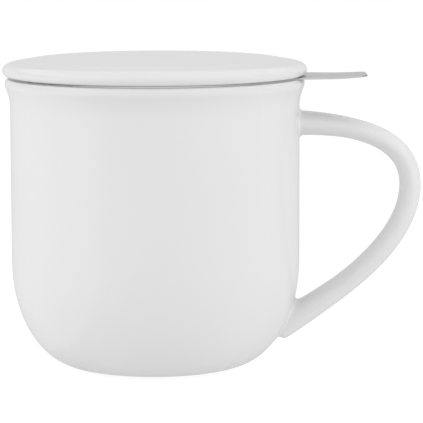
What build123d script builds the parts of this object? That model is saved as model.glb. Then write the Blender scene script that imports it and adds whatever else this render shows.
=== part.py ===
from build123d import *
import os
from math import acos, asin, cos, degrees, floor, pi, sin

# A tea mug in white porcelain with a lift-out steel infuser and a loose flat lid.
# Millimetres, +Z up. The origin is on the floor under the mug's axis, and the handle and the pull tab
# both point along +X. The infuser hangs in the mug by its flange, and the lid lies on that flange.

# Mug body: a straight wall, a flared lip and a large elliptical lower corner that runs into the foot
body_radius = 45.4
wall = 3.6
lip_height = 90.75
lip_flare = 1.6
lip_round = 3.0
lip_edge_width = 1.0
lip_edge_height = 1.7
mouth_round = 0.9
flare_radius = 12.2
corner_width = 21.1
corner_height = 32.7
floor_thickness = 3.6
foot_recess = 1.5
foot_width = 3.2
foot_edge = 0.6

# Handle: the centre line leaves the wall level, turns straight down at its outermost point and
# comes back to the lower corner on a slope. Each pull is how far the curve holds its direction.
handle_drop = 14.4
handle_projection = 34.9
bend_height = 56.9
foot_end_inset = 5.7
foot_end_height = 12.4
foot_end_slope = 28.6
upper_pull = 11.6
bend_upper_pull = 18.4
bend_lower_pull = 20.5
lower_pull = 14.5
root_thickness = 7.9
upper_thickness = 6.45
bend_thickness = 6.7
lower_thickness = 6.9
foot_end_thickness = 8.0
root_width = 13.0
bar_width = 11.0
root_run = 8.0
mid_section_share = 0.5

# Infuser rim: one stamping, a flat flange with a pull tab and a turned-down neck
rim_sheet = 0.5
flange_setback = 1.25
neck_clearance = 0.8
neck_depth = 11.0
neck_bend = 1.2
tab_showing = 18.55
tab_root_width = 26.2
tab_mid_width = 23.4
tab_tip_width = 16.7
tab_tip_round = 3.5
tab_root_round = 4.0
tab_flat = 6.0
tab_rise = 0.55

# Basket: a rolled wall with upright slots and a plain strip at its seam, and a slotted pan as its floor
basket_sheet = 0.5
weld_gap = 0.05
basket_dip = 6.7
basket_top_gap = 0.6
slot_width = 1.0
slot_height = 7.0
slot_bridge = 3.0
slot_margin = 1.5
slot_pitch = 4.5
seam_margin = 5.0
pan_depth = 3.0
pan_bend = 1.0
pan_slot_length = 5.0
pan_ring_step = 8.0
pan_ring_slots = 8

# Lid: a flat disc with a soft shoulder, a tighter lower edge and a ring that finds the basket's mouth
lid_overhang = 0.8
lid_thickness = 5.6
shoulder_width = 9.2
lower_edge_width = 2.0
lower_edge_height = 2.0
ring_depth = 3.5
ring_width = 3.0
ring_round = 0.8
ring_clearance = 0.7

# Every cut runs this far past the face it breaks
overrun = 2.0

# Mug outline, worked out from the sizes above
inner_radius = body_radius - wall
foot_radius = body_radius - corner_width
floor_top = foot_recess + floor_thickness
lip_radius = body_radius + lip_flare
flare_angle = acos(1 - lip_flare / (flare_radius + lip_round))
lip_widest = lip_height - lip_edge_height
flare_start = lip_widest - (flare_radius + lip_round) * sin(flare_angle)
flare_centre = (body_radius + flare_radius, flare_start)
inner_flare_radius = flare_radius + wall
mouth_reach = inner_flare_radius - mouth_round
mouth_angle = asin((lip_height - mouth_round - flare_start) / mouth_reach)
mouth_radius = body_radius + flare_radius - mouth_reach * cos(mouth_angle)

# Levels and radii that the infuser and the lid take from the mug
flange_top = lip_height + rim_sheet
flange_radius = lip_radius - flange_setback
neck_radius = inner_radius - neck_clearance
neck_inner = neck_radius - rim_sheet
neck_bottom = flange_top - neck_depth
bend_centre = (neck_radius + neck_bend, lip_height - neck_bend)
lid_radius = lip_radius + lid_overhang
tab_bend_at = lid_radius + tab_flat
tab_reach = lid_radius + tab_showing
basket_radius = neck_inner - weld_gap
basket_inner = basket_radius - basket_sheet
basket_bottom = corner_height - basket_dip
basket_top = bend_centre[1] - basket_top_gap
pan_radius = basket_inner - weld_gap
pan_top = basket_bottom + pan_depth

os.makedirs("parts", exist_ok=True)

# The mug's outer form, still solid: it becomes the body, and it trims the ends of the handle
with BuildPart() as mug_blank:
    with BuildSketch(Plane.XZ):
        with BuildLine():
            base = Line((0, 0), (foot_radius, 0))
            EllipticalCenterArc((foot_radius, corner_height), corner_width, corner_height, -90, arc_size=90)
            Line((body_radius, corner_height), (body_radius, flare_start))
            CenterArc(flare_centre, flare_radius, 180, -degrees(flare_angle))
            CenterArc(
                (lip_radius - lip_round, lip_widest),
                lip_round,
                -degrees(flare_angle),
                degrees(flare_angle),
            )
            lip = EllipticalCenterArc(
                (lip_radius - lip_edge_width, lip_widest),
                lip_edge_width,
                lip_edge_height,
                0,
                arc_size=90,
            )
            Polyline(lip @ 1, (0, lip_height), base @ 0)
        make_face()
    revolve(axis=Axis.Z)

with BuildPart() as mug_body:
    add(mug_blank.part)
    # The hollow follows the outside at the wall's thickness, up to the land that carries the flange
    with BuildSketch(Plane.XZ):
        with BuildLine():
            inner_floor = Line((0, floor_top), (foot_radius, floor_top))
            EllipticalCenterArc(
                (foot_radius, corner_height),
                inner_radius - foot_radius,
                corner_height - floor_top,
                -90,
                arc_size=90,
            )
            Line((inner_radius, corner_height), (inner_radius, flare_start))
            CenterArc(flare_centre, inner_flare_radius, 180, -degrees(mouth_angle))
            mouth = CenterArc(
                (mouth_radius, lip_height - mouth_round),
                mouth_round,
                180 - degrees(mouth_angle),
                degrees(mouth_angle) - 90,
            )
            Polyline(
                mouth @ 1,
                (mouth_radius, lip_height + overrun),
                (0, lip_height + overrun),
                inner_floor @ 0,
            )
        make_face()
    revolve(axis=Axis.Z, mode=Mode.SUBTRACT)
    # The recess leaves a narrow ring to stand on
    with BuildSketch(Plane.XY):
        Circle(foot_radius - foot_width)
    extrude(amount=foot_recess, mode=Mode.SUBTRACT)
    foot_rings = mug_body.edges().filter_by(GeomType.CIRCLE).group_by(Axis.Z)[0]
    fillet(foot_rings.sort_by(SortBy.RADIUS)[0], foot_edge)
mug_body.part.label = "mug_body"
export_step(mug_body.part, "parts/mug_body.step")

# The handle is an oval bar swept through sections that thicken towards both roots
with BuildPart() as mug_handle:
    upper_root = Vector(inner_radius, 0, lip_height - handle_drop)
    bend = Vector(body_radius + handle_projection, 0, bend_height)
    lower_root = Vector(body_radius - foot_end_inset, 0, foot_end_height)
    outward = Vector(1, 0, 0)
    upward = Vector(0, 0, 1)
    slope = outward.rotate(Axis.Y, -foot_end_slope)
    with BuildLine() as centre_line:
        upper = Bezier(upper_root, upper_root + outward * upper_pull, bend + upward * bend_upper_pull, bend)
        lower = Bezier(bend, bend - upward * bend_lower_pull, lower_root + slope * lower_pull, lower_root)
        run_on = Line(lower_root, lower_root - slope * root_run)
    sections = [
        (upper, 0, root_thickness, root_width),
        (upper, mid_section_share, upper_thickness, bar_width),
        (lower, 0, bend_thickness, bar_width),
        (lower, mid_section_share, lower_thickness, bar_width),
        (run_on, 0, foot_end_thickness, root_width),
        (run_on, 1, foot_end_thickness, root_width),
    ]
    for edge, place, thickness, width in sections:
        with BuildSketch(Plane(origin=edge @ place, x_dir=(0, 1, 0), z_dir=edge % place)):
            Ellipse(width / 2, thickness / 2)
    sweep(path=centre_line.line, multisection=True)
    add(mug_blank.part, mode=Mode.SUBTRACT)
mug_handle.part.label = "mug_handle"
export_step(mug_handle.part, "parts/mug_handle.step")

with BuildPart() as infuser_rim:
    # Side view of the sheet: flat over the mug, then a slow upward curve along the tab
    tab_curve = ((tab_reach - tab_bend_at) ** 2 + tab_rise**2) / (2 * tab_rise)
    curve_centre = (tab_bend_at, flange_top + tab_curve)
    curve_angle = degrees(asin((tab_reach + overrun - tab_bend_at) / tab_curve))
    with BuildSketch(Plane.XZ):
        with BuildLine():
            top_curve = CenterArc(curve_centre, tab_curve, -90, curve_angle)
            under_curve = CenterArc(curve_centre, tab_curve + rim_sheet, -90, curve_angle)
            Line(top_curve @ 1, under_curve @ 1)
            Polyline(
                top_curve @ 0,
                (-flange_radius - overrun, flange_top),
                (-flange_radius - overrun, lip_height),
                under_curve @ 0,
            )
        make_face()
    extrude(amount=flange_radius + overrun, both=True)
    # Plan of the stamping: the round flange and the bowed sides of the tab, joined by rounded corners
    tab_middle = (neck_radius + tab_reach) / 2
    with BuildSketch(Plane.XY.offset(lip_height)) as plan:
        Circle(flange_radius)
        with BuildLine():
            near_side = ThreePointArc(
                (neck_radius, -tab_root_width / 2),
                (tab_middle, -tab_mid_width / 2),
                (tab_reach, -tab_tip_width / 2),
            )
            far_side = mirror(near_side, about=Plane.XZ)
            Line(near_side @ 1, far_side @ 1)
            Line(near_side @ 0, far_side @ 0)
        make_face()
        fillet(plan.vertices().group_by(Axis.X)[0], tab_root_round)
        fillet(plan.vertices().group_by(Axis.X)[-1], tab_tip_round)
        Circle(bend_centre[0], mode=Mode.SUBTRACT)
    extrude(amount=rim_sheet + tab_rise + overrun, mode=Mode.INTERSECT)
    # The neck turns down from the flange and centres the infuser in the mouth of the mug
    with BuildSketch(Plane.XZ):
        with BuildLine():
            outer_bend = CenterArc(bend_centre, neck_bend + rim_sheet, 90, 90)
            inner_bend = CenterArc(bend_centre, neck_bend, 90, 90)
            Line(outer_bend @ 0, inner_bend @ 0)
            Polyline(
                outer_bend @ 1,
                (neck_inner, neck_bottom),
                (neck_radius, neck_bottom),
                inner_bend @ 1,
            )
        make_face()
    revolve(axis=Axis.Z)
infuser_rim.part.label = "infuser_rim"
export_step(infuser_rim.part, "parts/infuser_rim.step")

# Rows of upright slots, every second row shifted by half a pitch, leave a plain strip at the seam,
# which faces away from the tab
slot_zone = neck_bottom - pan_top
row_step = slot_height + slot_bridge
slot_rows = floor((slot_zone - 2 * slot_margin + slot_bridge) / row_step)
first_row = pan_top + (slot_zone - slot_rows * row_step + slot_bridge + slot_height) / 2
seam_angle = degrees(seam_margin / basket_radius)
slot_span = 360 - 2 * seam_angle
slot_columns = 1 + floor(slot_span / 360 * 2 * pi * basket_radius / slot_pitch)
half_pitch = slot_span / (slot_columns - 1) / 2

with BuildPart() as basket_wall:
    with BuildSketch(Plane.XY.offset(basket_bottom)):
        Circle(basket_radius)
        Circle(basket_inner, mode=Mode.SUBTRACT)
    extrude(amount=basket_top - basket_bottom)
    for row in range(slot_rows):
        shift = row % 2
        with PolarLocations(
            basket_radius,
            slot_columns - shift,
            start_angle=seam_angle - 180 + shift * half_pitch,
            angular_range=slot_span - 2 * shift * half_pitch,
            endpoint=True,
        ):
            with Locations((0, 0, first_row + row * row_step)):
                Box(2 * overrun, slot_width, slot_height, mode=Mode.SUBTRACT)
basket_wall.part.label = "basket_wall"
export_step(basket_wall.part, "parts/basket_wall.step")

# The floor is a shallow pan, set in with its edge turned down and welded flush with the wall's lower edge
with BuildPart() as basket_floor:
    with BuildSketch(Plane.XZ):
        with BuildLine():
            outer_corner = CenterArc((pan_radius - pan_bend, pan_top - pan_bend), pan_bend, 0, 90)
            inner_corner = CenterArc(
                (pan_radius - pan_bend, pan_top - pan_bend), pan_bend - basket_sheet, 0, 90
            )
            Polyline(
                outer_corner @ 0,
                (pan_radius, basket_bottom),
                (pan_radius - basket_sheet, basket_bottom),
                inner_corner @ 0,
            )
            Polyline(
                outer_corner @ 1,
                (0, pan_top),
                (0, pan_top - basket_sheet),
                inner_corner @ 1,
            )
        make_face()
    revolve(axis=Axis.Z)
    with BuildSketch(Plane.XY.offset(pan_top)):
        for ring in range(1, floor((pan_radius - pan_bend) / pan_ring_step) + 1):
            with PolarLocations(ring * pan_ring_step, ring * pan_ring_slots):
                Rectangle(pan_slot_length, slot_width)
    extrude(amount=-overrun, mode=Mode.SUBTRACT)
basket_floor.part.label = "basket_floor"
export_step(basket_floor.part, "parts/basket_floor.step")

with BuildPart() as lid:
    with BuildSketch(Plane.XZ):
        with BuildLine():
            lower_edge = EllipticalCenterArc(
                (lid_radius - lower_edge_width, flange_top + lower_edge_height),
                lower_edge_width,
                lower_edge_height,
                -90,
                arc_size=90,
            )
            shoulder = EllipticalCenterArc(
                (lid_radius - shoulder_width, flange_top + lower_edge_height),
                shoulder_width,
                lid_thickness - lower_edge_height,
                0,
                arc_size=90,
            )
            ring_radius = basket_inner - ring_clearance
            Polyline(
                shoulder @ 1,
                (0, flange_top + lid_thickness),
                (0, flange_top),
                (ring_radius - ring_width, flange_top),
                (ring_radius - ring_width, flange_top - ring_depth),
                (ring_radius, flange_top - ring_depth),
                (ring_radius, flange_top),
                lower_edge @ 0,
            )
        make_face()
    revolve(axis=Axis.Z)
    fillet(lid.edges().group_by(Axis.Z)[0], ring_round)
lid.part.label = "lid"
export_step(lid.part, "parts/lid.step")
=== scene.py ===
"""Looks of a white porcelain tea mug with a lift-out steel infuser and a loose flat lid.

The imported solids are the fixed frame, in metres, +Z up, with the handle and the pull tab along +X.
"""

import logging
from collections.abc import Callable
from dataclasses import dataclass, field
from enum import Enum
from math import acos, asin, atan2, cos, degrees, hypot, pi, radians, sin, tan

import bmesh
import bpy
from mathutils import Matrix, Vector


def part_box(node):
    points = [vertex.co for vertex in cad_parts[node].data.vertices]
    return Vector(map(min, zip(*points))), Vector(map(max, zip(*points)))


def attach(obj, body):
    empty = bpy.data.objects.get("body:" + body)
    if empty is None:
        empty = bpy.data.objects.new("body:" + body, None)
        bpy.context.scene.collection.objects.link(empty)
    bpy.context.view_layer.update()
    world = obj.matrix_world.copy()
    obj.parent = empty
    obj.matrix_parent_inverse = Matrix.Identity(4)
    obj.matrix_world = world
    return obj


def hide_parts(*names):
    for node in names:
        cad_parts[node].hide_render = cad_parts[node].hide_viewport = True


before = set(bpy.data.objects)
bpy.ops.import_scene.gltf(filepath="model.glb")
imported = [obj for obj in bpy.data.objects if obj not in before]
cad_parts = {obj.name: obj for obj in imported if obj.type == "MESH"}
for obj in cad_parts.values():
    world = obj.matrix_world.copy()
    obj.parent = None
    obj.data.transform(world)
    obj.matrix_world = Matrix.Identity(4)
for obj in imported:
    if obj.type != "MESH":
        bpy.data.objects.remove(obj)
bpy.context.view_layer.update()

MM = 0.001
log = logging.getLogger("tea_mug")

# Points closer than this are one point, and this many halvings place a point far below it.
MERGE = 0.01 * MM
HALVINGS = 40
# Sheet steel is shaded smooth where its faces meet at less than this angle.
SMOOTH_BELOW = radians(35)

ProfilePoint = tuple[float, float]
Settings = dict[str | int, object]
Links = dict[str | int, bpy.types.NodeSocket]


def linear(hex_colour: str) -> tuple[float, float, float, float]:
    """Turn an sRGB colour into the linear one that shaders take.

    Args:
        hex_colour: six hex digits after a hash sign.

    Returns:
        Linear red, green and blue, and an alpha of 1.
    """
    shares = [int(hex_colour[i : i + 2], 16) / 255 for i in (1, 3, 5)]
    red, green, blue = (s / 12.92 if s <= 0.04045 else ((s + 0.055) / 1.055) ** 2.4 for s in shares)
    return red, green, blue, 1.0


def add_node(
    tree: bpy.types.NodeTree, kind: str, settings: Settings | None = None, links: Links | None = None
) -> bpy.types.Node:
    """Add a node with its settings and its links.

    Args:
        tree: the node tree it goes into.
        kind: the node's type name, after the prefix that all shader nodes share.
        settings: input sockets (by name or number) or node properties, with their values.
        links: input sockets by name or number, with the output sockets that feed them.

    Returns:
        The new node.
    """
    node = tree.nodes.new("ShaderNode" + kind)
    for name, value in (settings or {}).items():
        if isinstance(name, int) or name in node.inputs:
            node.inputs[name].default_value = value
        else:
            setattr(node, name, value)
    for name, source in (links or {}).items():
        tree.links.new(source, node.inputs[name])
    return node


def new_material(name: str) -> tuple[bpy.types.Material, bpy.types.NodeTree]:
    """Make an empty node material.

    Args:
        name: the material's name.

    Returns:
        The material and its node tree.
    """
    material = bpy.data.materials.new(name)
    material.use_nodes = True
    material.node_tree.nodes.clear()
    return material, material.node_tree


@dataclass(frozen=True)
class FiredPorcelain:
    """Fired porcelain: two close tones in patches, and a fine relief as bump."""

    name: str
    tone: str
    other_tone: str
    roughness: float
    patch: float
    patch_detail: float
    relief: float
    relief_detail: float
    relief_height: float

    def material(self) -> bpy.types.Material:
        """Build the finish at its real scale."""
        material, tree = new_material(self.name)
        place = {"Vector": add_node(tree, "TexCoord").outputs["Object"]}
        patch = {"Scale": 1 / self.patch, "Detail": self.patch_detail}
        patches = add_node(tree, "TexNoise", patch, place)
        tones = {"data_type": "RGBA", 6: linear(self.tone), 7: linear(self.other_tone)}
        colour = add_node(tree, "Mix", tones, {0: patches.outputs["Fac"]})
        grit = {"Scale": 1 / self.relief, "Detail": self.relief_detail}
        relief = add_node(tree, "TexNoise", grit, place)
        depth = {"Strength": 1.0, "Distance": self.relief_height}
        bump = add_node(tree, "Bump", depth, {"Height": relief.outputs["Fac"]})
        surface = {"Base Color": colour.outputs[2], "Normal": bump.outputs["Normal"]}
        shader = add_node(tree, "BsdfPrincipled", {"Roughness": self.roughness}, surface)
        add_node(tree, "OutputMaterial", links={"Surface": shader.outputs[0]})
        return material


@dataclass(frozen=True)
class GlazedPorcelain(FiredPorcelain):
    """Slip-cast porcelain in clear glaze: clean white and glassy, with a faint wave in the glaze."""

    name: str = "glazed_porcelain"
    tone: str = "#E9E9E9"
    other_tone: str = "#E4E4E4"
    roughness: float = 0.1
    patch: float = 45 * MM
    patch_detail: float = 1.0
    relief: float = 11 * MM
    relief_detail: float = 0.0
    relief_height: float = 0.012 * MM


@dataclass(frozen=True)
class BareBiscuit(FiredPorcelain):
    """Unglazed porcelain, ground smooth where it stood in the kiln: matt, warmer, with fine grit."""

    name: str = "bare_biscuit"
    tone: str = "#E2DFD9"
    other_tone: str = "#D3CEC5"
    roughness: float = 0.82
    patch: float = 0.5 * MM
    patch_detail: float = 3.0
    relief: float = 0.5 * MM
    relief_detail: float = 3.0
    relief_height: float = 0.03 * MM


class Grain(Enum):
    """Which way the brush lines run: how fast they change along X, Y and Z, as a share of the fastest."""

    ALONG_TAB = (0.02, 1.0, 1.0)
    ROUND_THE_AXIS = (0.03, 0.03, 1.0)


@dataclass(frozen=True)
class BrushedSteel:
    """Stainless steel sheet, belt brushed: a soft grey mirror broken into fine parallel lines."""

    name: str
    grain: Grain
    bright: str = "#DEDEDD"
    dull: str = "#C4C4C4"
    edge_tint: str = "#F0F0F0"
    line: float = 0.5 * MM
    streak: float = 4.0 * MM
    detail: float = 2.0
    line_height: float = 0.006 * MM
    smooth: float = 0.26
    rough: float = 0.4

    def material(self) -> bpy.types.Material:
        """Build the finish: lines in bump and roughness, drawn wide enough to show, over broad streaks."""
        material, tree = new_material(self.name)
        place = {"Vector": add_node(tree, "TexCoord").outputs["Object"]}
        drawn = {"Vector": add_node(tree, "Mapping", {"Scale": self.grain.value}, place).outputs[0]}
        lines = add_node(tree, "TexNoise", {"Scale": 1 / self.line, "Detail": self.detail}, drawn)
        streaks = add_node(tree, "TexNoise", {"Scale": 1 / self.streak, "Detail": self.detail}, drawn)
        shades = {"data_type": "RGBA", 6: linear(self.bright), 7: linear(self.dull)}
        tones = add_node(tree, "Mix", shades, {0: streaks.outputs["Fac"]})
        span = {"To Min": self.smooth, "To Max": self.rough}
        polish = add_node(tree, "MapRange", span, {"Value": lines.outputs["Fac"]}).outputs[0]
        depth = {"Strength": 1.0, "Distance": self.line_height}
        bump = add_node(tree, "Bump", depth, {"Height": lines.outputs["Fac"]})
        metal = {"Metallic": 1.0, "Specular Tint": linear(self.edge_tint)}
        surface = {"Base Color": tones.outputs[2], "Roughness": polish, "Normal": bump.outputs["Normal"]}
        shader = add_node(tree, "BsdfPrincipled", metal, surface)
        add_node(tree, "OutputMaterial", links={"Surface": shader.outputs[0]})
        return material


def select_only(piece: bpy.types.Object) -> None:
    """Deselect everything, then select one piece and make it active."""
    bpy.ops.object.select_all(action="DESELECT")
    piece.select_set(True)
    bpy.context.view_layer.objects.active = piece


def apply_modifier(piece: bpy.types.Object, kind: str, **settings: object) -> None:
    """Add a modifier to a piece and apply it.

    Args:
        piece: the mesh object.
        kind: the modifier's type name.
        settings: the modifier's properties by name.
    """
    select_only(piece)
    modifier = piece.modifiers.new(kind.title(), kind)
    for name, value in settings.items():
        setattr(modifier, name, value)
    bpy.ops.object.modifier_apply(modifier=modifier.name)


def start_edit(kind: str, action: str = "SELECT") -> None:
    """Go into edit mode on points, edges or faces, with all of them selected or none."""
    bpy.ops.object.mode_set(mode="EDIT")
    bpy.ops.mesh.select_mode(type=kind)
    bpy.ops.mesh.select_all(action=action)


def face_outwards(merge: bool = False) -> None:
    """Turn the faces of the piece in edit mode outwards, after merging its doubled points where asked."""
    bpy.ops.mesh.select_all(action="SELECT")
    if merge:
        bpy.ops.mesh.remove_doubles(threshold=MERGE)
    bpy.ops.mesh.normals_make_consistent(inside=False)


def subdivided(piece: bpy.types.Object, levels: int = 2) -> None:
    """Round a cage into its smooth surface."""
    apply_modifier(piece, "SUBSURF", levels=levels, render_levels=levels)
    bpy.ops.object.shade_smooth()


def eased(share: float) -> float:
    """A share from 0 to 1 that starts and stops gently."""
    share = min(max(share, 0.0), 1.0)
    return share * share * (3 - 2 * share)


def arc(
    centre: ProfilePoint, width: float, height: float, start: float, end: float, steps: int
) -> list[ProfilePoint]:
    """Points along an elliptical arc of a profile, without its first point.

    Args:
        centre: the ellipse's centre, as radius and height.
        width: half its width.
        height: half its height.
        start: the first angle in degrees, which gives no point.
        end: the last angle in degrees.
        steps: how many points.

    Returns:
        The points in order.
    """
    angles = [radians(start + (end - start) * (i + 1) / steps) for i in range(steps)]
    return [(centre[0] + width * cos(a), centre[1] + height * sin(a)) for a in angles]


def line(start: ProfilePoint, end: ProfilePoint, steps: int) -> list[ProfilePoint]:
    """Evenly spaced points along a straight stretch of a profile, without its first point."""
    return [tuple(s + (e - s) * (i + 1) / steps for s, e in zip(start, end)) for i in range(steps)]


def cage_gain(steps: int) -> float:
    """How much wider a ring of points must be so that its subdivided surface has the true radius."""
    return 3 / (2 + cos(2 * pi / steps))


def turned(name: str, profile: list[ProfilePoint], steps: int) -> bpy.types.Object:
    """Turn a profile round the axis, from a single point that is extruded along it and then spun.

    Args:
        name: the piece's name.
        profile: radius and height of each point, from one end on the axis to the other.
        steps: how many columns the turned cage has.

    Returns:
        The turned cage, closed and with its faces outwards.
    """
    bpy.ops.object.select_all(action="DESELECT")
    bpy.ops.mesh.primitive_circle_add(vertices=3, radius=MM)
    piece = bpy.context.object
    piece.name = piece.data.name = name
    gain = cage_gain(steps)
    spots = [Vector((radius * gain, 0, height)) for radius, height in profile]
    start_edit("VERT")
    bpy.ops.mesh.merge(type="CENTER")
    bpy.ops.transform.translate(value=spots[0])
    for here, there in zip(spots, spots[1:]):
        bpy.ops.mesh.extrude_region_move(TRANSFORM_OT_translate={"value": there - here})
    bpy.ops.mesh.select_all(action="SELECT")
    bpy.ops.mesh.spin(steps=steps, angle=2 * pi, center=(0, 0, 0), axis=(0, 0, 1))
    face_outwards(merge=True)
    bpy.ops.object.mode_set(mode="OBJECT")
    return piece


def number_rings(piece: bpy.types.Object) -> None:
    """Number the points of a ring, so that the rings extruded from it keep the numbers."""
    numbers = piece.data.attributes.new("ring_number", "INT", "POINT")
    for number, entry in enumerate(numbers.data):
        entry.value = number


def lay_rings(piece: bpy.types.Object, rings: list[list[Vector]]) -> None:
    """Lay the selected ring on the first ring of points, then extrude it from ring to ring.

    Args:
        piece: the piece in edit mode, with the ring selected.
        rings: the points of each ring, by their numbers.
    """
    for count, ring in enumerate(rings):
        if count:
            bpy.ops.mesh.extrude_region_move()
        mesh = bmesh.from_edit_mesh(piece.data)
        number = mesh.verts.layers.int["ring_number"]
        for vertex in mesh.verts:
            if vertex.select:
                vertex.co = ring[vertex[number]]
        bmesh.update_edit_mesh(piece.data)


def select_vertices(piece: bpy.types.Object, wanted: Callable[[Vector], bool]) -> None:
    """Select the points of a piece in edit mode by their places."""
    bpy.ops.mesh.select_all(action="DESELECT")
    mesh = bmesh.from_edit_mesh(piece.data)
    for vertex in mesh.verts:
        vertex.select = wanted(vertex.co)
    mesh.select_flush_mode()
    bmesh.update_edit_mesh(piece.data)


def select_edges(piece: bpy.types.Object, wanted: Callable[[Vector], bool]) -> None:
    """Select the edges of a piece in edit mode whose two ends are both wanted."""
    bpy.ops.mesh.select_all(action="DESELECT")
    mesh = bmesh.from_edit_mesh(piece.data)
    for edge in mesh.edges:
        edge.select = wanted(edge.verts[0].co) and wanted(edge.verts[1].co)
    mesh.select_flush_mode()
    bmesh.update_edit_mesh(piece.data)


def spaced(start: float, end: float, count: int) -> list[float]:
    """Evenly spaced places from the first to the last."""
    return [start + (end - start) * number / (count - 1) for number in range(count)]


def dress(piece: bpy.types.Object, *materials: bpy.types.Material) -> None:
    """Give a piece its materials, in the order of its slots."""
    piece.data.materials.clear()
    for material in materials:
        piece.data.materials.append(material)


def bare_below(piece: bpy.types.Object, level: float) -> None:
    """Give the second finish to the faces below a level: what stood in the kiln has no glaze."""
    for face in piece.data.polygons:
        face.material_index = int(face.center.z < level)


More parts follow.
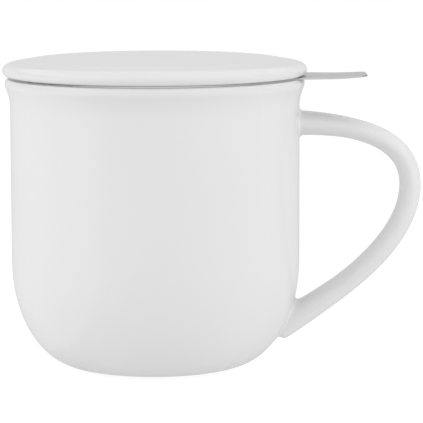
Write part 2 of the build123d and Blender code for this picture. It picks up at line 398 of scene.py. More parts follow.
@dataclass
class Mug:
    """The porcelain mug: body and handle in one glazed skin, with a bare foot ring."""

    columns: int = 72
    wall: float = 3.6 * MM
    body_radius: float = 45.4 * MM
    lip_round: float = 3.0 * MM
    lip_edge_width: float = 1.0 * MM
    lip_edge_height: float = 1.7 * MM
    mouth_round: float = 0.9 * MM
    flare_radius: float = 12.2 * MM
    corner_width: float = 21.1 * MM
    corner_height: float = 32.7 * MM
    floor_thickness: float = 3.6 * MM
    foot_recess: float = 1.5 * MM
    foot_width: float = 3.2 * MM
    foot_edge: float = 0.6 * MM
    bare_height: float = 0.05 * MM
    handle_drop: float = 14.4 * MM
    handle_projection: float = 34.9 * MM
    bend_height: float = 56.9 * MM
    foot_end_inset: float = 5.7 * MM
    foot_end_height: float = 12.4 * MM
    foot_end_slope: float = 28.6
    upper_pull: float = 11.6 * MM
    bend_upper_pull: float = 18.4 * MM
    bend_lower_pull: float = 20.5 * MM
    lower_pull: float = 14.5 * MM
    root_run: float = 8.0 * MM
    thicknesses: tuple[float, ...] = (7.9 * MM, 6.45 * MM, 6.7 * MM, 6.9 * MM, 8.0 * MM)
    widths: tuple[float, ...] = (13.0 * MM, 11.0 * MM, 11.0 * MM, 11.0 * MM, 13.0 * MM)
    root_fillet: float = 1.3 * MM
    root_edge: float = 0.7 * MM
    root_end: float = 2.17
    under_flare: float = 0.8 * MM
    under_flare_start: float = 1.6
    under_flare_end: float = 2.17
    # Places along the handle's centre line: its plain sections (first, last, how many), and for each
    # root a place clear of the body and one within its wall. A nudge is a share of that stretch.
    upper_sections: tuple[float, float, int] = (0.3, 1.0, 15)
    lower_sections: tuple[float, float, int] = (1.04, 1.64, 16)
    upper_meeting: tuple[float, float] = (0.3, 0.0)
    lower_meeting: tuple[float, float] = (1.6, 3.0)
    nudge: float = 0.01
    search_step: float = 0.04 * MM
    search_count: int = 100
    window_columns: int = 6
    window_rows: int = 6
    # The lower root's window in the body, in degrees of the corner's arc.
    corner_window: tuple[float, float] = (-60, -15)
    corner_steps: int = 12
    lip_height: float = field(init=False)
    lip_radius: float = field(init=False)
    lip_widest: float = field(init=False)
    inner_radius: float = field(init=False)
    foot_radius: float = field(init=False)
    floor_top: float = field(init=False)
    flare_angle: float = field(init=False)
    flare_start: float = field(init=False)
    flare_centre: ProfilePoint = field(init=False)
    inner_flare: float = field(init=False)
    mouth_angle: float = field(init=False)
    mouth_radius: float = field(init=False)
    window_top: float = field(init=False)
    window_bottom: float = field(init=False)

    def __post_init__(self) -> None:
        """Take the lip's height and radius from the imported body, and work out the rest of the outline."""
        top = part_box("mug_body")[1]
        self.lip_height, self.lip_radius = top.z, top.x
        self.inner_radius = self.body_radius - self.wall
        self.foot_radius = self.body_radius - self.corner_width
        self.floor_top = self.foot_recess + self.floor_thickness
        reach = self.flare_radius + self.lip_round
        self.flare_angle = acos(1 - (self.lip_radius - self.body_radius) / reach)
        self.lip_widest = self.lip_height - self.lip_edge_height
        self.flare_start = self.lip_widest - reach * sin(self.flare_angle)
        self.flare_centre = (self.body_radius + self.flare_radius, self.flare_start)
        self.inner_flare = self.flare_radius + self.wall
        mouth_reach = self.inner_flare - self.mouth_round
        self.mouth_angle = asin((self.lip_height - self.mouth_round - self.flare_start) / mouth_reach)
        self.mouth_radius = self.flare_centre[0] - mouth_reach * cos(self.mouth_angle)
        self.window_top = self.flare_start
        self.window_bottom = 2 * (self.lip_height - self.handle_drop) - self.flare_start

    def profile(self) -> list[ProfilePoint]:
        """The outline of half the body, from the foot's recess round the lip to the inner floor."""
        recess_radius = self.foot_radius - self.foot_width
        foot_centre = (recess_radius + self.foot_edge, self.foot_edge)
        corner_centre = (self.foot_radius, self.corner_height)
        lip_centre = (self.lip_radius - self.lip_round, self.lip_widest)
        edge_centre = (self.lip_radius - self.lip_edge_width, self.lip_widest)
        mouth_centre = (self.mouth_radius, self.lip_height - self.mouth_round)
        flare, mouth = degrees(self.flare_angle), degrees(self.mouth_angle)
        outline = [(0.0, self.foot_recess)]
        outline += line((0.0, self.foot_recess), (recess_radius - self.foot_edge, self.foot_recess), 3)
        outline += [(recess_radius, self.foot_recess - self.foot_edge / 2)]
        outline += arc(foot_centre, self.foot_edge, self.foot_edge, 180, 270, 3)
        outline += line((foot_centre[0], 0.0), (self.foot_radius, 0.0), 2)
        outline += arc(corner_centre, self.corner_width, self.corner_height, -90, 0, self.corner_steps)
        side = [(self.body_radius, z) for z in (self.corner_height, self.window_bottom, self.window_top)]
        outline += line(side[0], side[1], 12)
        outline += line(side[1], side[2], self.window_rows)
        outline += arc(self.flare_centre, self.flare_radius, self.flare_radius, 180, 180 - flare, 3)
        outline += arc(lip_centre, self.lip_round, self.lip_round, -flare, 0, 2)
        outline += arc(edge_centre, self.lip_edge_width, self.lip_edge_height, 0, 90, 4)
        outline += [(self.mouth_radius, self.lip_height)]
        outline += arc(mouth_centre, self.mouth_round, self.mouth_round, 90, 180 - mouth, 3)
        outline += arc(self.flare_centre, self.inner_flare, self.inner_flare, 180 - mouth, 180, 3)[1:]
        outline += line((self.inner_radius, self.flare_start), (self.inner_radius, self.corner_height), 6)
        inner_corner = (self.inner_radius - self.foot_radius, self.corner_height - self.floor_top)
        outline += arc(corner_centre, *inner_corner, 0, -90, 7)
        outline += line((self.foot_radius, self.floor_top), (0.0, self.floor_top), 3)
        return outline

    def outer_radius(self, height: float) -> float:
        """The radius of the body's outside at a height.

        Args:
            height: the height above the foot.

        Returns:
            The radius there.
        """
        if height < self.corner_height:
            share = 1 - max(height, 0.0) / self.corner_height
            return self.foot_radius + self.corner_width * (1 - share**2) ** 0.5
        if height < self.flare_start:
            return self.body_radius
        rise = min(height - self.flare_start, self.flare_radius)
        return self.flare_centre[0] - (self.flare_radius**2 - rise**2) ** 0.5

    def depth_in_wall(self, spot: Vector) -> float:
        """How far a point lies inside the body's outside, along the radius; negative outside it."""
        return self.outer_radius(spot.z) - hypot(spot.x, spot.y)

    def on_wall(self, spot: Vector) -> Vector:
        """The point of the body's outside at the same height and in the same direction."""
        share = self.outer_radius(spot.z) / hypot(spot.x, spot.y)
        return Vector((spot.x * share, spot.y * share, spot.z))

    def nearest_on_wall(self, spot: Vector) -> Vector:
        """The point of the body's outside next to a point that lies outside the lower corner."""
        heights = [spot.z + self.search_step * step for step in range(self.search_count)]
        near = [self.on_wall(Vector((spot.x, spot.y, height))) for height in heights]
        return min(near, key=lambda place: (place - spot).length)

    def centre_line(self, along: float) -> tuple[Vector, Vector]:
        """A point of the handle's centre line and its direction.

        Args:
            along: 0 to 1 from the upper root to the bend, 1 to 2 to the lower root, then into the wall.

        Returns:
            The point, and the unit direction in which along grows.
        """
        start = Vector((self.inner_radius, 0, self.lip_height - self.handle_drop))
        bend = Vector((self.body_radius + self.handle_projection, 0, self.bend_height))
        end = Vector((self.body_radius - self.foot_end_inset, 0, self.foot_end_height))
        slope = Vector((cos(radians(self.foot_end_slope)), 0, sin(radians(self.foot_end_slope))))
        out, up = Vector((1, 0, 0)), Vector((0, 0, 1))
        if along > 2:
            return end - slope * self.root_run * (along - 2), -slope
        if along <= 1:
            hold = (start, start + out * self.upper_pull, bend + up * self.bend_upper_pull, bend)
            t = along
        else:
            hold = (bend, bend - up * self.bend_lower_pull, end + slope * self.lower_pull, end)
            t = along - 1
        s = 1 - t
        spot = hold[0] * s**3 + hold[1] * (3 * s * s * t) + hold[2] * (3 * s * t * t) + hold[3] * t**3
        way = (hold[1] - hold[0]) * s * s + (hold[2] - hold[1]) * (2 * s * t) + (hold[3] - hold[2]) * t * t
        return spot, way.normalized()

    def section_size(self, sizes: tuple[float, ...], along: float) -> float:
        """A size of the handle's section, eased from one given section to the next."""
        place = min(max(along, 0.0), 2.0) * (len(sizes) - 1) / 2
        first = min(int(place), len(sizes) - 2)
        return sizes[first] + (sizes[first + 1] - sizes[first]) * eased(place - first)

    def handle_point(self, along: float, turn: float, swell: float = 0.0) -> Vector:
        """A point on the handle's skin.

        Args:
            along: the place along the centre line.
            turn: the angle round the section, 0 at +Y.
            swell: how much larger than the handle the section is, all round.

        Returns:
            The point.
        """
        spot, way = self.centre_line(along)
        across = Vector((-way.z, 0, way.x))
        gain = cage_gain(self.ring_count())
        half_width = self.section_size(self.widths, along) / 2 * gain + swell
        half_thickness = self.section_size(self.thicknesses, along) / 2 * gain + swell
        if sin(turn) > 0:
            share = (along - self.under_flare_start) / (self.under_flare_end - self.under_flare_start)
            half_thickness += self.under_flare * eased(share)
        return spot + Vector((0, 1, 0)) * (half_width * cos(turn)) + across * (half_thickness * sin(turn))

    def ring_count(self) -> int:
        """How many points a ring of the handle has: as many as the edge of its window in the body."""
        return 2 * (self.window_columns + self.window_rows)

    def meets_wall(self, turn: float, low: float, high: float, swell: float = 0.0) -> float:
        """Where a line along the handle's skin meets the body.

        Args:
            turn: the angle of the line round the section.
            low: a place along the centre line where the line is outside the body.
            high: a place where it is inside.
            swell: how much larger than the handle the section is.

        Returns:
            The place along the centre line where it meets the wall.
        """
        for _ in range(HALVINGS):
            middle = (low + high) / 2
            if self.depth_in_wall(self.handle_point(middle, turn, swell)) > 0:
                high = middle
            else:
                low = middle
        return (low + high) / 2

    def root_rings(self, outside: float, inside: float, first_section: float) -> list[list[Vector]]:
        """The rings of the soft joint between the handle and the body, from the body outwards.

        The skin stops at the handle's blunt end, and the end's face turns in to the body from there.

        Args:
            outside: a place along the centre line that is clear of the body.
            inside: a place that is within the wall.
            first_section: the place of the first plain section of the handle.

        Returns:
            Rings of points: on the body, through the hollow of the joint, and along the handle.
        """
        hollow = (0.0, 1 / 3, 2 / 3, 1.0)
        rings: list[list[Vector]] = [[] for _ in range(len(hollow) + 2)]
        probe = self.root_fillet / 2
        step = self.nudge * (outside - inside)
        for number in range(self.ring_count()):
            turn = 2 * pi * number / self.ring_count()
            place = min(self.meets_wall(turn, outside, inside), self.root_end)
            edge = self.handle_point(place, turn)
            run = self.handle_point(place + step, turn) - edge
            if place < self.root_end:
                corner = edge
                swollen = self.meets_wall(turn, outside, inside, probe)
                away = self.handle_point(swollen, turn, probe) - corner
                reach = self.root_fillet / tan(away.angle(run) / 2)
            else:
                corner = self.nearest_on_wall(edge)
                away = self.nearest_on_wall(self.handle_point(place, turn, probe)) - corner
                reach = self.root_fillet
            on_body = self.on_wall(corner + away.normalized() * reach)
            leave = place + step * max(reach - (edge - corner).length, 0) / run.length
            on_handle = self.handle_point(leave, turn)
            for ring, share in zip(rings, hollow):
                near, far = on_body.lerp(corner, share), corner.lerp(on_handle, share)
                ring.append(near.lerp(far, share))
            beyond = leave + step * self.root_edge / run.length
            rings[-2].append(self.handle_point(beyond, turn))
            rings[-1].append(self.handle_point((beyond + first_section) / 2, turn))
        return rings

    def handle_rings(self) -> list[list[Vector]]:
        """All the rings of the handle, from the upper root to the lower one."""
        turns = [2 * pi * number / self.ring_count() for number in range(self.ring_count())]
        upper, lower = spaced(*self.upper_sections), spaced(*self.lower_sections)
        upper_root = self.root_rings(*self.upper_meeting, first_section=upper[0])
        lower_root = self.root_rings(*self.lower_meeting, first_section=lower[-1])
        plain = [[self.handle_point(place, turn) for turn in turns] for place in upper + lower]
        return upper_root + plain + lower_root[::-1]

    def build_handle(self) -> bpy.types.Object:
        """Make the handle's skin: a ring of points, extruded from section to section."""
        rings = self.handle_rings()
        bpy.ops.object.select_all(action="DESELECT")
        bpy.ops.mesh.primitive_circle_add(vertices=self.ring_count(), radius=self.widths[0] / 2)
        handle = bpy.context.object
        number_rings(handle)
        start_edit("VERT")
        lay_rings(handle, rings)
        bpy.ops.object.mode_set(mode="OBJECT")
        return handle

    def open_windows(self, body: bpy.types.Object) -> None:
        """Take out the two patches of the body where the handle's skin runs into it."""
        reach = (self.window_columns + 1) * pi / self.columns
        corner_window = [self.corner_height * (1 + sin(radians(a))) for a in self.corner_window]
        levels = [(self.window_bottom, self.window_top), corner_window]
        start_edit("FACE", "DESELECT")
        mesh = bmesh.from_edit_mesh(body.data)
        for face in mesh.faces:
            middle = face.calc_center_median()
            beside = abs(atan2(middle.y, middle.x)) < reach - pi / self.columns
            level = any(low < middle.z < high for low, high in levels)
            face.select = beside and level and face.normal.x > 0
        bmesh.update_edit_mesh(body.data)
        bpy.ops.mesh.delete(type="FACE")
        bpy.ops.object.mode_set(mode="OBJECT")

    def join_handle(self, body: bpy.types.Object, handle: bpy.types.Object) -> None:
        """Bridge both open ends of the handle to the windows in the body."""
        select_only(body)
        handle.select_set(True)
        bpy.ops.object.join()
        for upper in (True, False):
            start_edit("EDGE", "DESELECT")
            mesh = bmesh.from_edit_mesh(body.data)
            for edge in mesh.edges:
                height = (edge.verts[0].co.z + edge.verts[1].co.z) / 2
                edge.select = edge.is_boundary and (height > self.bend_height) == upper
            bmesh.update_edit_mesh(body.data)
            bpy.ops.mesh.bridge_edge_loops()
            bpy.ops.object.mode_set(mode="OBJECT")

    def build(self, glaze: bpy.types.Material, biscuit: bpy.types.Material) -> bpy.types.Object:
        """Build the whole mug and dress it.

        Args:
            glaze: the finish of the skin.
            biscuit: the finish of the foot ring.

        Returns:
            The finished mug.
        """
        mug = turned("mug", self.profile(), self.columns)
        self.open_windows(mug)
        self.join_handle(mug, self.build_handle())
        bpy.ops.object.mode_set(mode="EDIT")
        face_outwards()
        bpy.ops.object.mode_set(mode="OBJECT")
        subdivided(mug)
        dress(mug, glaze, biscuit)
        bare_below(mug, self.bare_height)
        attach(mug, "mug")
        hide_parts("mug_body", "mug_handle")
        return mug


@dataclass
class Lid:
    """The loose porcelain lid: a flat disc with a soft shoulder, and a ring that centres it."""

    columns: int = 72
    shoulder_slope: float = 9.8
    rim_width: float = 3.5 * MM
    rim_height: float = 2.4 * MM
    lower_edge_width: float = 2.2 * MM
    lower_edge_height: float = 2.0 * MM
    ring_depth: float = 3.5 * MM
    ring_width: float = 3.0 * MM
    ring_round: float = 0.8 * MM
    ring_radius: float = 39.25 * MM
    root_round: float = 0.6 * MM
    bare_height: float = 0.05 * MM

    def profile(self) -> list[ProfilePoint]:
        """The outline of half the lid, from the middle of its top round the edge to its underside."""
        low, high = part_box("lid")
        radius, top, bottom = high.x, high.z, low.z
        under = bottom + self.ring_depth
        waist = under + self.lower_edge_height
        inner = self.ring_radius - self.ring_width
        outline = [(0.0, top)]
        slope = tan(radians(self.shoulder_slope))
        turn = atan2(self.rim_height, self.rim_width * slope)
        rim_centre = (radius - self.rim_width, waist)
        rim_top = (rim_centre[0] + self.rim_width * cos(turn), waist + self.rim_height * sin(turn))
        flat_end = (rim_top[0] - (top - rim_top[1]) / slope, top)
        outline += line((0.0, top), flat_end, 6)
        outline += line(flat_end, rim_top, 4)
        outline += arc(rim_centre, self.rim_width, self.rim_height, degrees(turn), 0, 6)
        edge_centre = (radius - self.lower_edge_width, waist)
        outline += arc(edge_centre, self.lower_edge_width, self.lower_edge_height, 0, -90, 4)
        outline += line((edge_centre[0], under), (self.ring_radius + self.root_round, under), 2)
        outline += [(self.ring_radius, under - self.root_round)]
        outer_tip = (self.ring_radius - self.ring_round, bottom + self.ring_round)
        outline += [(self.ring_radius, outer_tip[1])]
        outline += arc(outer_tip, self.ring_round, self.ring_round, 0, -90, 3)
        inner_tip = (inner + self.ring_round, bottom + self.ring_round)
        outline += [(inner_tip[0], bottom)]
        outline += arc(inner_tip, self.ring_round, self.ring_round, -90, -180, 3)
        outline += [(inner, under - self.root_round), (inner - self.root_round, under)]
        outline += line((inner - self.root_round, under), (0.0, under), 4)
        return outline

    def build(self, glaze: bpy.types.Material, biscuit: bpy.types.Material) -> bpy.types.Object:
        """Build the lid and dress it, bare where its ring stood in the kiln.

        Args:
            glaze: the finish of the skin.
            biscuit: the finish of the ring's tip.

        Returns:
            The finished lid.
        """
        lid = turned("lid_disc", self.profile(), self.columns)
        subdivided(lid)
        dress(lid, glaze, biscuit)
        bare_below(lid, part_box("lid")[0].z + self.bare_height)
        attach(lid, "lid")
        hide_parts("lid")
        return lid


@dataclass
class Infuser:
    """The steel infuser: a stamped rim with its pull tab, a punched and rolled wall, and a slotted pan."""

    sheet: float = 0.5 * MM
    edge_round: float = 0.04 * MM
    edge_angle: float = 50
    neck_radius: float = 41.0 * MM
    neck_bend: float = 1.2 * MM
    tab_root_width: float = 26.2 * MM
    tab_mid_width: float = 23.4 * MM
    tab_tip_width: float = 16.7 * MM
    tab_tip_round: float = 3.5 * MM
    tab_root_round: float = 4.0 * MM
    tab_flat: float = 6.0 * MM
    tab_rise: float = 0.55 * MM
    tab_columns: int = 16
    tab_root_steps: int = 5
    tab_tip_steps: int = 7
    flange_columns: int = 80
    slot_columns: int = 55
    slot_rows: int = 5
    slot_width: float = 1.0 * MM
    slot_height: float = 7.0 * MM
    slot_bridge: float = 3.0 * MM
    seam_margin: float = 5.0 * MM
    seam_bead: float = 0.12 * MM
    seam_width: float = 0.5 * MM
    pan_depth: float = 3.0 * MM
    flange_radius: float = field(init=False)
    flange_top: float = field(init=False)
    neck_bottom: float = field(init=False)
    tab_reach: float = field(init=False)
    tab_bend_at: float = field(init=False)
    wall_low: Vector = field(init=False)
    wall_high: Vector = field(init=False)

    def __post_init__(self) -> None:
        """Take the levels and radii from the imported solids."""
        low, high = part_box("infuser_rim")
        self.flange_radius, self.tab_reach, self.neck_bottom = -low.x, high.x, low.z
        self.flange_top = high.z - self.tab_rise
        self.tab_bend_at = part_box("lid")[1].x + self.tab_flat
        self.wall_low, self.wall_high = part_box("basket_wall")

    def tab_side(self, out: float) -> tuple[float, float]:
        """Half the tab's width before its corners are rounded, and how fast it changes.

        Args:
            out: the distance from the mug's axis.

        Returns:
            The half width and its slope.
        """
        span = (self.tab_reach - self.neck_radius) / 2
        share = (out - self.neck_radius - span) / span
        lean = (self.tab_tip_width - self.tab_root_width) / 4
        bow = (self.tab_tip_width + self.tab_root_width) / 4 - self.tab_mid_width / 2
        return self.tab_mid_width / 2 + lean * share + bow * share**2, (lean + 2 * bow * share) / span

    def tab_edge(self) -> tuple[list[ProfilePoint], float]:
        """The far edge of the tab, from the flange round its two soft corners to the tip.

        Returns:
            Points as distance from the axis and half width, and the angle where it leaves the flange.
        """
        reach = self.flange_radius + self.tab_root_round
        low, high = 0.0, pi / 3
        for _ in range(HALVINGS):
            angle = (low + high) / 2
            side, slope = self.tab_side(reach * cos(angle))
            if (reach * sin(angle) - side) / hypot(1, slope) < self.tab_root_round:
                low = angle
            else:
                high = angle
        root = (reach * cos(angle), reach * sin(angle))
        leave = degrees(angle) - 180
        straight = degrees(atan2(slope, 1)) - 90
        edge = [(self.flange_radius * cos(angle), self.flange_radius * sin(angle))]
        edge += arc(root, self.tab_root_round, self.tab_root_round, leave, straight, self.tab_root_steps)
        slope = self.tab_side(self.tab_reach)[1]
        tip_out = self.tab_reach - self.tab_tip_round
        tip = (tip_out, self.tab_side(tip_out)[0] - self.tab_tip_round * hypot(1, slope))
        turn = degrees(atan2(slope, 1)) + 90
        first = arc(tip, self.tab_tip_round, self.tab_tip_round, turn, turn, 1)[0]
        stretch = line(edge[-1], first, self.tab_tip_steps)
        edge += [(out, self.tab_side(out)[0]) for out, _ in stretch[:-1]] + [first]
        edge += arc(tip, self.tab_tip_round, self.tab_tip_round, turn, 0, self.tab_tip_steps)
        return edge, angle

    def tab_height(self, out: float) -> float:
        """The level of the sheet's upper face at a distance from the axis: flat, then curving slowly up."""
        run = max(out - self.tab_bend_at, 0.0)
        full = self.tab_reach - self.tab_bend_at
        radius = (full**2 + self.tab_rise**2) / (2 * self.tab_rise)
        return self.flange_top + radius - (radius**2 - run**2) ** 0.5

    def rim_rings(self) -> tuple[list[list[Vector]], list[list[Vector]]]:
        """The rings of points that the rim is drawn through.

        Returns:
            Full rings from the foot of the neck to the flange's edge, and part rings along the tab.
        """
        edge, leave = self.tab_edge()
        tab_turns = [leave * (2 * number / self.tab_columns - 1) for number in range(self.tab_columns + 1)]
        rest = 2 * (pi - leave) / self.flange_columns
        turns = tab_turns + [leave + rest * (number + 1) for number in range(self.flange_columns - 1)]
        bend = self.neck_bend + self.sheet
        bend_centre = (self.neck_radius + self.neck_bend, self.flange_top - bend)
        inner = bend_centre[0] - bend
        profile = line((inner, 2 * self.neck_bottom - bend_centre[1]), (inner, self.neck_bottom), 1)
        profile += line((inner, self.neck_bottom), (inner, bend_centre[1]), 4)
        profile += arc(bend_centre, bend, bend, 180, 90, 5)
        profile += line((bend_centre[0], self.flange_top), (self.flange_radius, self.flange_top), 3)
        full = [[Vector((r * cos(turn), r * sin(turn), z)) for turn in turns] for r, z in profile]
        tab = []
        start, straight = edge[0][0], edge[self.tab_root_steps + 1][0]
        for out, half in edge[1:]:
            swell = max((straight - out) / (straight - start), 0.0)
            ring = []
            for turn in tab_turns:
                across = half * turn / leave
                far = out + swell * self.flange_radius * (cos(turn) - cos(leave))
                ring.append(Vector((far, across, self.tab_height(far))))
            tab.append(ring)
        return full, tab

    def build_rim(self) -> bpy.types.Object:
        """Draw the rim's upper face ring by ring, thicken it downwards and ease its cut edges."""
        full, tab = self.rim_rings()
        bpy.ops.object.select_all(action="DESELECT")
        bpy.ops.mesh.primitive_circle_add(vertices=len(full[0]), radius=self.neck_radius)
        rim = bpy.context.object
        rim.name = rim.data.name = "infuser_rim_stamping"
        number_rings(rim)
        start_edit("VERT")
        lay_rings(rim, full)
        mesh = bmesh.from_edit_mesh(rim.data)
        number = mesh.verts.layers.int["ring_number"]
        for vertex in mesh.verts:
            vertex.select = vertex.select and vertex[number] <= self.tab_columns
        mesh.select_flush_mode()
        bpy.ops.mesh.extrude_region_move()
        lay_rings(rim, tab)
        face_outwards()
        mesh = bmesh.from_edit_mesh(rim.data)
        if sum(face.normal.z * face.calc_area() for face in mesh.faces) < 0:
            bpy.ops.mesh.flip_normals()
        bpy.ops.object.mode_set(mode="OBJECT")
        apply_modifier(rim, "SOLIDIFY", thickness=self.sheet, offset=-1)
        sharp = {"limit_method": "ANGLE", "angle_limit": radians(self.edge_angle)}
        apply_modifier(rim, "BEVEL", width=self.edge_round, segments=2, **sharp)
        bpy.ops.object.shade_smooth_by_angle(angle=SMOOTH_BELOW)
        return rim

    def flat_row(self, slots: int, level: float) -> bpy.types.Object:
        """Punch one row of round-ended slots in flat sheet, with plain ends as far as the seam.

        Args:
            slots: how many slots the row has.
            level: the height of the slots' middles.

        Returns:
            The row, flat in XY, with the height along Y.
        """
        radius = self.wall_high.x
        pitch = 2 * (pi * radius - self.seam_margin) / (self.slot_columns - 1)
        step = self.slot_height + self.slot_bridge
        border = (pitch - self.slot_width) / 2
        bpy.ops.object.select_all(action="DESELECT")
        bpy.ops.mesh.primitive_plane_add(size=1)
        row = bpy.context.object
        start_edit("FACE")
        bpy.ops.transform.resize(value=(pitch, step, 1), center_override=(0, 0, 0))
        bpy.ops.mesh.inset(thickness=border)
        stretch = self.slot_height / (step - 2 * border)
        bpy.ops.transform.resize(value=(1, stretch, 1), center_override=(0, 0, 0))
        bpy.ops.mesh.delete(type="ONLY_FACE")
        bpy.ops.mesh.select_mode(type="VERT")
        select_vertices(row, lambda spot: abs(spot.x) < self.slot_width)
        bpy.ops.mesh.bevel(offset=self.slot_width / 2, segments=3, affect="VERTICES")
        bpy.ops.mesh.select_mode(type="EDGE")
        select_edges(row, lambda spot: abs(abs(spot.y) - step / 2) < MERGE)
        bpy.ops.mesh.subdivide(number_cuts=1)
        bpy.ops.mesh.select_all(action="SELECT")
        bpy.ops.mesh.quads_convert_to_tris()
        bpy.ops.object.mode_set(mode="OBJECT")
        spacing = {"use_constant_offset": True, "constant_offset_displace": (pitch, 0, 0)}
        apply_modifier(row, "ARRAY", count=slots, use_relative_offset=False, **spacing)
        bpy.ops.object.mode_set(mode="EDIT")
        bpy.ops.mesh.select_all(action="SELECT")
        bpy.ops.transform.translate(value=(-pitch * (slots - 1) / 2, level, 0))
        bpy.ops.mesh.remove_doubles(threshold=MERGE)
        for side in (1, -1):
            end = side * pitch * slots / 2
            even_end = side * pitch * self.slot_columns / 2
            seam = side * pi * radius
            stops = (end, even_end, (even_end + seam) / 2, seam)
            select_edges(row, lambda spot: abs(spot.x - end) < MERGE)
            for here, there in zip(stops, stops[1:]):
                if abs(there - here) > MERGE:
                    bpy.ops.mesh.extrude_region_move(TRANSFORM_OT_translate={"value": (there - here, 0, 0)})
        bpy.ops.object.mode_set(mode="OBJECT")
        return row

    def build_wall(self) -> bpy.types.Object:
        """Punch the wall flat, add its plain bands, roll it up, weld its seam and thicken it inwards."""
        radius = self.wall_high.x
        step = self.slot_height + self.slot_bridge
        zone_low = self.wall_low.z + self.pan_depth
        slack = self.neck_bottom - zone_low - self.slot_rows * step
        bottom = zone_low + slack / 2
        rows = [
            self.flat_row(self.slot_columns - number % 2, bottom + (number + 0.5) * step)
            for number in range(self.slot_rows)
        ]
        wall = rows[0]
        wall.name = wall.data.name = "basket_wall_sheet"
        select_only(wall)
        for row in rows[1:]:
            row.select_set(True)
        bpy.ops.object.join()
        top = bottom + self.slot_rows * step
        start_edit("EDGE")
        bpy.ops.mesh.remove_doubles(threshold=MERGE)
        for level, limit, steps in ((top, self.wall_high.z, 2), (bottom, self.wall_low.z, 1)):
            select_edges(wall, lambda spot: abs(spot.y - level) < MERGE)
            for _ in range(steps):
                value = (0, (limit - level) / steps, 0)
                bpy.ops.mesh.extrude_region_move(TRANSFORM_OT_translate={"value": value})
        mesh = bmesh.from_edit_mesh(wall.data)
        for vertex in mesh.verts:
            turn, height = vertex.co.x / radius, vertex.co.y
            vertex.co = Vector((radius * cos(turn), radius * sin(turn), height))
        bmesh.update_edit_mesh(wall.data)
        face_outwards(merge=True)
        select_edges(wall, lambda spot: spot.x < 0 and abs(spot.y) < MERGE)
        bpy.ops.mesh.bevel(offset=self.seam_width, segments=2, affect="EDGES")
        select_edges(wall, lambda spot: spot.x < 0 and abs(spot.y) < MERGE)
        bpy.ops.transform.translate(value=(-self.seam_bead, 0, 0))
        bpy.ops.object.mode_set(mode="OBJECT")
        apply_modifier(wall, "SOLIDIFY", thickness=self.sheet, offset=-1)
        bpy.ops.object.shade_smooth_by_angle(angle=SMOOTH_BELOW)
        return wall

    def build(self, brushed: bpy.types.Material, rolled: bpy.types.Material) -> list[bpy.types.Object]:
        """Build the rim and the wall, and dress them and the pan.

        Args:
            brushed: steel brushed along the tab.
            rolled: steel brushed round the basket.

        Returns:
            The pieces.
        """
        rim, wall = self.build_rim(), self.build_wall()
        for piece, node, material in ((rim, "infuser_rim", brushed), (wall, "basket_wall", rolled)):
            dress(piece, material)
            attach(piece, "infuser")
            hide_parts(node)
        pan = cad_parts["basket_floor"]
        dress(pan, brushed)
        return [rim, wall, pan]


@dataclass(frozen=True)
class Softbox:
    """One soft lamp of the studio."""

    name: str
    place: tuple[float, float, float]
    side: float
    watts: float


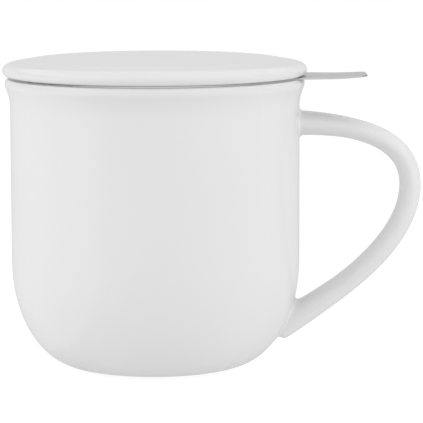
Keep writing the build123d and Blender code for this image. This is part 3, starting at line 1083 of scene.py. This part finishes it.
@dataclass
class Studio:
    """A white studio: pale floor, soft lamps, and a grey paper wall that only the object's shine shows."""

    white: str = "#FFFFFF"
    ambient: float = 0.66
    paper: str = "#F2F2F2"
    floor_side: float = 8.0
    floor_shadow: float = 0.25
    floor_lift: float = 1.13
    # How much the floor glows for bounced rays, in its paper tone: painted fill light on the mug's foot.
    floor_fill: float = 0.6
    wall_radius: float = 2.2
    wall_height: float = 1.2
    wall_columns: int = 96
    wall_tone: str = "#DCDCDC"
    front_start: float = 0.1
    front_full: float = 0.5
    left_card: str = "#4A4A4A"
    right_card: str = "#B0B0B0"
    card_edge: float = 0.55
    aim: Vector = field(default_factory=lambda: Vector((0, 0, 50 * MM)))
    softboxes: tuple[Softbox, ...] = (
        Softbox("left_softbox", (-1.5, -0.5, 0.4), 1.6, 14.0),
        Softbox("right_softbox", (1.5, -0.5, 0.4), 1.6, 14.0),
        Softbox("top_softbox", (0.0, -0.4, 1.7), 1.6, 2.5),
    )

    def seen_as_background(self, tree: bpy.types.NodeTree) -> bpy.types.NodeSocket:
        """One for rays that show the background: from the camera, off a mirror or through glass.

        Args:
            tree: the node tree of the world or of a material.

        Returns:
            The socket that holds it.
        """
        rays = add_node(tree, "LightPath").outputs
        seen = rays["Is Camera Ray"]
        for ray in ("Is Glossy Ray", "Is Transmission Ray"):
            seen = add_node(tree, "Math", {"operation": "MAXIMUM"}, {0: seen, 1: rays[ray]}).outputs[0]
        return seen

    def shine_tone(self, tree: bpy.types.NodeTree) -> bpy.types.NodeSocket:
        """The paper's tone in the object's shine: white on the set's front side, -Y, and grey elsewhere.

        Args:
            tree: the node tree of the floor's or the wall's material.

        Returns:
            The socket that holds the colour.
        """
        place = add_node(tree, "TexCoord").outputs["Object"]
        depth = add_node(tree, "SeparateXYZ", links={"Vector": place}).outputs["Y"]
        span = {"From Min": -self.front_start, "From Max": -self.front_full}
        ahead = add_node(tree, "MapRange", span, {"Value": depth}).outputs[0]
        tones = {"data_type": "RGBA", 6: linear(self.wall_tone), 7: linear(self.white)}
        return add_node(tree, "Mix", tones, {0: ahead}).outputs[2]

    def build_world(self) -> None:
        """Light the set evenly, and show plain white where there is nothing."""
        world = bpy.data.worlds.new("white_studio")
        world.use_nodes = True
        tree = world.node_tree
        tree.nodes.clear()
        light = add_node(tree, "Background", {"Color": linear(self.white), "Strength": self.ambient})
        white = add_node(tree, "Background", {"Color": linear(self.white), "Strength": 1.0})
        shares = {0: self.seen_as_background(tree), 1: light.outputs[0], 2: white.outputs[0]}
        mix = add_node(tree, "MixShader", links=shares)
        add_node(tree, "OutputWorld", links={"Surface": mix.outputs[0]})
        bpy.context.scene.world = world

    def build_floor(self) -> bpy.types.Object:
        """Lay the floor: white paper, lifted to plain white for the eye but still holding a soft shadow."""
        bpy.ops.object.select_all(action="DESELECT")
        bpy.ops.mesh.primitive_plane_add(size=self.floor_side)
        floor = bpy.context.object
        floor.name = "floor"
        material, tree = new_material("white_paper")
        rays = add_node(tree, "LightPath").outputs
        paper = add_node(tree, "BsdfDiffuse", {"Color": linear(self.paper)})
        white = add_node(tree, "Emission", {"Color": linear(self.white), "Strength": self.floor_lift})
        grey = add_node(tree, "Emission", {"Strength": 1.0}, {"Color": self.shine_tone(tree)})
        # For bounced rays the floor partly glows in its paper tone: painted fill light that lifts the shade
        # round the mug's foot.
        fill = add_node(tree, "Emission", {"Color": linear(self.paper), "Strength": 1.0})
        lift = {"operation": "MULTIPLY", 1: 1 - self.floor_shadow}
        to_the_eye = add_node(tree, "Math", lift, {0: rays["Is Camera Ray"]}).outputs[0]
        bounce = {"operation": "MULTIPLY", 1: self.floor_fill}
        painted_fill_on_foot = add_node(tree, "Math", bounce, {0: rays["Is Diffuse Ray"]}).outputs[0]
        in_the_glaze = rays["Is Glossy Ray"]
        surface = paper
        for share, tone in ((to_the_eye, white), (painted_fill_on_foot, fill), (in_the_glaze, grey)):
            layers = {0: share, 1: surface.outputs[0], 2: tone.outputs[0]}
            surface = add_node(tree, "MixShader", links=layers)
        add_node(tree, "OutputMaterial", links={"Surface": surface.outputs[0]})
        dress(floor, material)
        return floor

    def build_wall(self) -> bpy.types.Object:
        """Stand grey paper round the set, far off: it gives white glaze on white ground an edge."""
        bpy.ops.object.select_all(action="DESELECT")
        bpy.ops.mesh.primitive_cylinder_add(
            vertices=self.wall_columns,
            radius=self.wall_radius,
            depth=self.wall_height,
            end_fill_type="NOTHING",
            location=(0, 0, self.wall_height / 2),
        )
        wall = bpy.context.object
        wall.name = "grey_wall"
        material, tree = new_material("grey_paper")
        place = add_node(tree, "TexCoord").outputs["Object"]
        sideways = add_node(tree, "SeparateXYZ", links={"Vector": place}).outputs["X"]
        aside = add_node(tree, "Math", {"operation": "ABSOLUTE"}, {0: sideways}).outputs[0]
        span = {"From Min": self.card_edge * self.wall_radius, "From Max": self.wall_radius}
        cards = add_node(tree, "MapRange", span, {"Value": aside}).outputs[0]
        right = add_node(tree, "Math", {"operation": "GREATER_THAN", 1: 0.0}, {0: sideways}).outputs[0]
        card_tones = {"data_type": "RGBA", 6: linear(self.left_card), 7: linear(self.right_card)}
        card = add_node(tree, "Mix", card_tones, {0: right}).outputs[2]
        tones = add_node(tree, "Mix", {"data_type": "RGBA"}, {0: cards, 6: self.shine_tone(tree), 7: card})
        grey = add_node(tree, "Emission", {"Strength": 1.0}, {"Color": tones.outputs[2]})
        add_node(tree, "OutputMaterial", links={"Surface": grey.outputs[0]})
        dress(wall, material)
        wall.visible_camera = wall.visible_diffuse = wall.visible_shadow = False
        wall.visible_transmission = False
        return wall

    def build(self) -> None:
        """Build the set and hang its lamps."""
        self.build_world()
        self.build_floor()
        self.build_wall()
        for box in self.softboxes:
            lamp = bpy.data.lights.new(box.name, "AREA")
            lamp.shape, lamp.size, lamp.energy = "SQUARE", box.side, box.watts
            holder = bpy.data.objects.new(box.name, lamp)
            holder.location = box.place
            holder.visible_glossy = False
            holder.rotation_euler = (self.aim - holder.location).to_track_quat("-Z", "Y").to_euler()
            bpy.context.scene.collection.objects.link(holder)


@dataclass
class PhotoCamera:
    """The photograph's viewpoint: a long lens, a little above the lid, and held not quite level."""

    aim: Vector = field(default_factory=lambda: Vector((17.65 * MM, 0, 48.22 * MM)))
    distance: float = 800 * MM
    elevation: float = 7.2
    roll: float = 0.18
    focal_pixels: float = 2534
    image_side: int = 423

    def build(self) -> None:
        """Place the camera."""
        tilt = radians(self.elevation)
        data = bpy.data.cameras.new("photo_camera")
        data.lens = data.sensor_width * self.focal_pixels / self.image_side
        camera = bpy.data.objects.new("photo_camera", data)
        back = Vector((0, -cos(tilt), sin(tilt)))
        camera.location = self.aim + back * self.distance
        camera.rotation_euler = (-back).to_track_quat("-Z", "Y").to_euler()
        camera.rotation_euler.rotate_axis("Z", -radians(self.roll))
        bpy.context.scene.collection.objects.link(camera)
        bpy.context.scene.camera = camera


def main() -> None:
    """Build the object and its studio, piece by piece."""
    logging.basicConfig(level=logging.INFO, format="%(message)s")
    bpy.context.scene.view_settings.view_transform = "Standard"
    glaze, biscuit = GlazedPorcelain().material(), BareBiscuit().material()
    brushed = BrushedSteel("brushed_sheet_steel", Grain.ALONG_TAB).material()
    rolled = BrushedSteel("rolled_sheet_steel", Grain.ROUND_THE_AXIS).material()
    pieces = [Mug().build(glaze, biscuit), Lid().build(glaze, biscuit)]
    pieces += Infuser().build(brushed, rolled)
    for piece in pieces:
        log.info("%s: %d faces", piece.name, len(piece.data.polygons))
    Studio().build()
    PhotoCamera().build()


if __name__ == "__main__":
    main()
